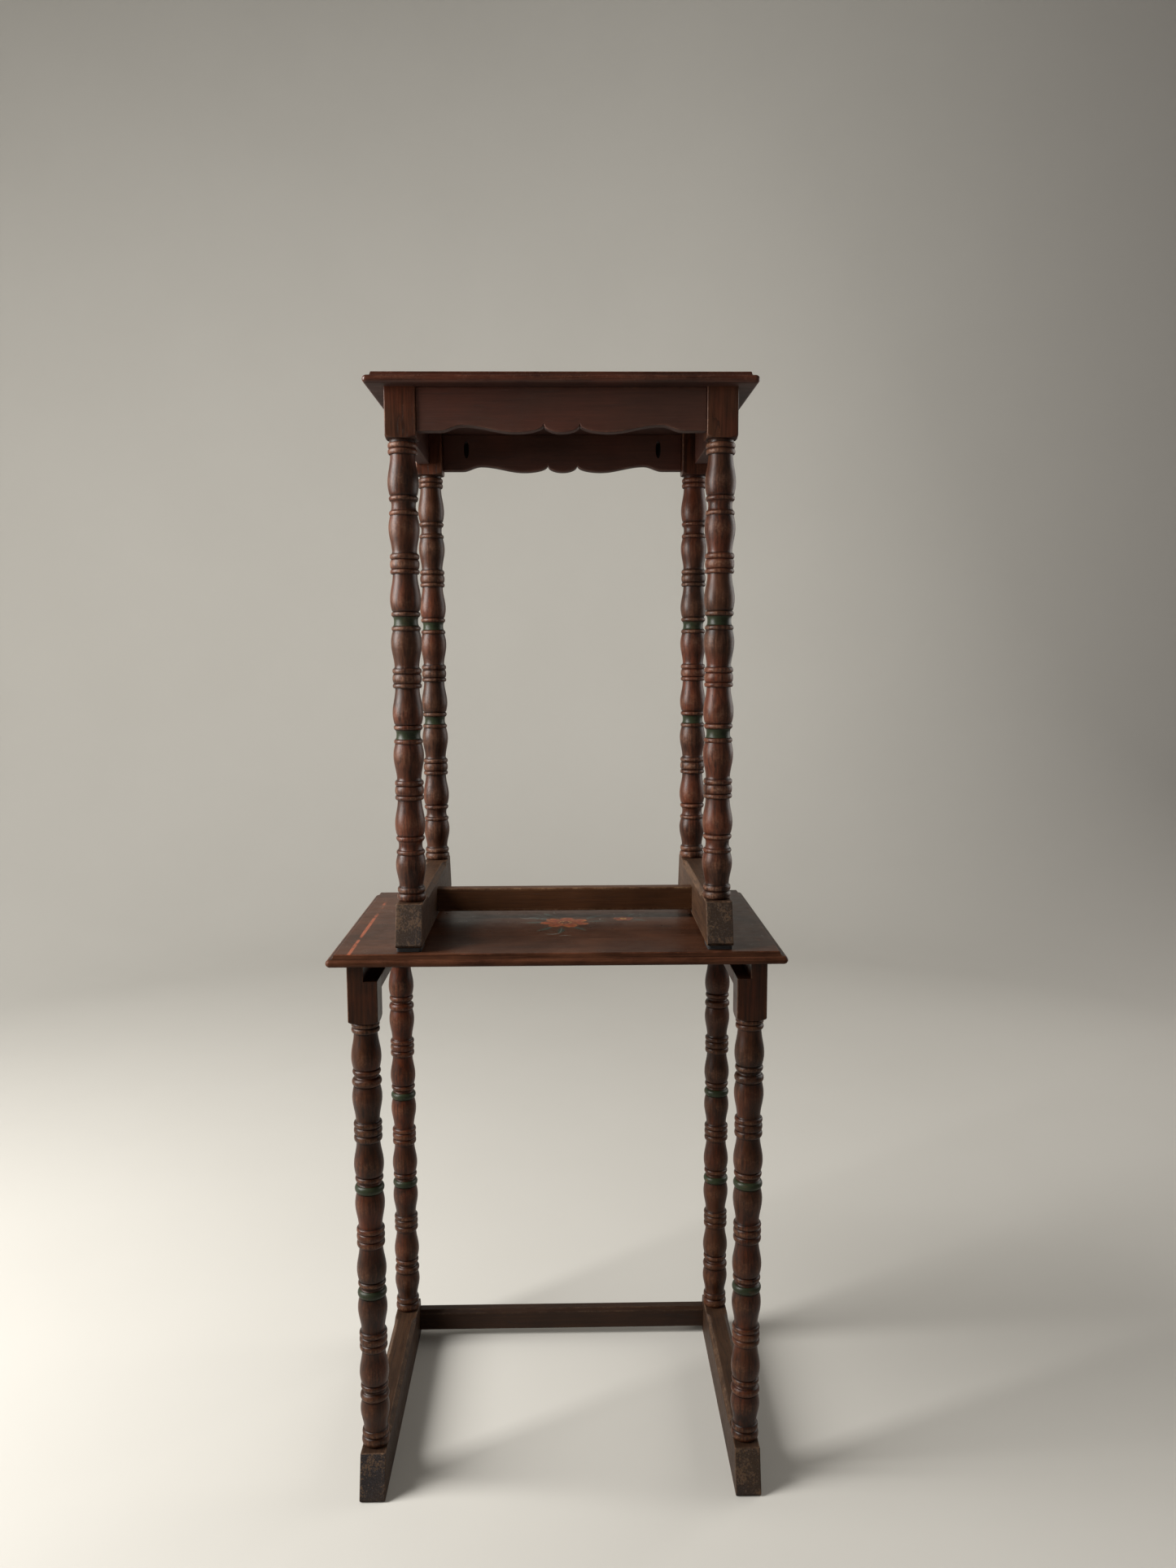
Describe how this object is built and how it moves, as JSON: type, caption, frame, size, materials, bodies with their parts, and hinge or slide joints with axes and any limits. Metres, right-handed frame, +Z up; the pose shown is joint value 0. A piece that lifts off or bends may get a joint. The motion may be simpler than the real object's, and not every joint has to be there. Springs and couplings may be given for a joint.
{
  "type": "nest of tables",
  "caption": "Nest of bobbin-turned occasional tables on sled feet, the smaller stacked on the larger; the larger's legs and side rails are grooved to take the smaller's top.",
  "frame": {"origin": "on the floor under the centre of the large table", "axes": "+Z up, -Y towards the open front of the large table, +X to the right seen from the front"},
  "size_m": [0.5, 0.352, 1.245],
  "materials": {
    "top_wood": "dark red-brown stain, satin, worn along the edge",
    "turned_wood": "brown stain with open grain, worn on the rings, two muted green painted bands",
    "rail_wood": "dark red-brown stain, satin",
    "foot_wood": "dark stain, scuffed end grain",
    "dowel_wood": "bare",
    "screw_steel": "dull",
    "pad_felt": "matte black felt"
  },
  "bodies": {
    "large_table": {"large_top": "top_wood", "large_leg_front_left": "turned_wood", "large_leg_front_right": "turned_wood", "large_leg_rear_left": "turned_wood", "large_leg_rear_right": "turned_wood", "large_side_rail_left": "rail_wood", "large_side_rail_right": "rail_wood", "large_rear_rail": "rail_wood", "large_foot_left": "foot_wood", "large_foot_right": "foot_wood", "large_stretcher": "rail_wood", "large_top_dowels": "dowel_wood"},
    "small_table": {"small_top": "top_wood", "small_leg_front_left": "turned_wood", "small_leg_front_right": "turned_wood", "small_leg_rear_left": "turned_wood", "small_leg_rear_right": "turned_wood", "small_front_apron": "rail_wood", "small_rear_apron": "rail_wood", "small_side_apron_left": "rail_wood", "small_side_apron_right": "rail_wood", "small_foot_left": "foot_wood", "small_foot_right": "foot_wood", "small_stretcher": "rail_wood", "small_top_screws": "screw_steel", "small_foot_pads": "pad_felt"}
  },
  "joints": [
    {"name": "small_table_lift", "type": "slide", "parent": "large_table", "child": "small_table", "axis": [0, 0, 1], "range_m": [0, 0.2]}
  ]
}
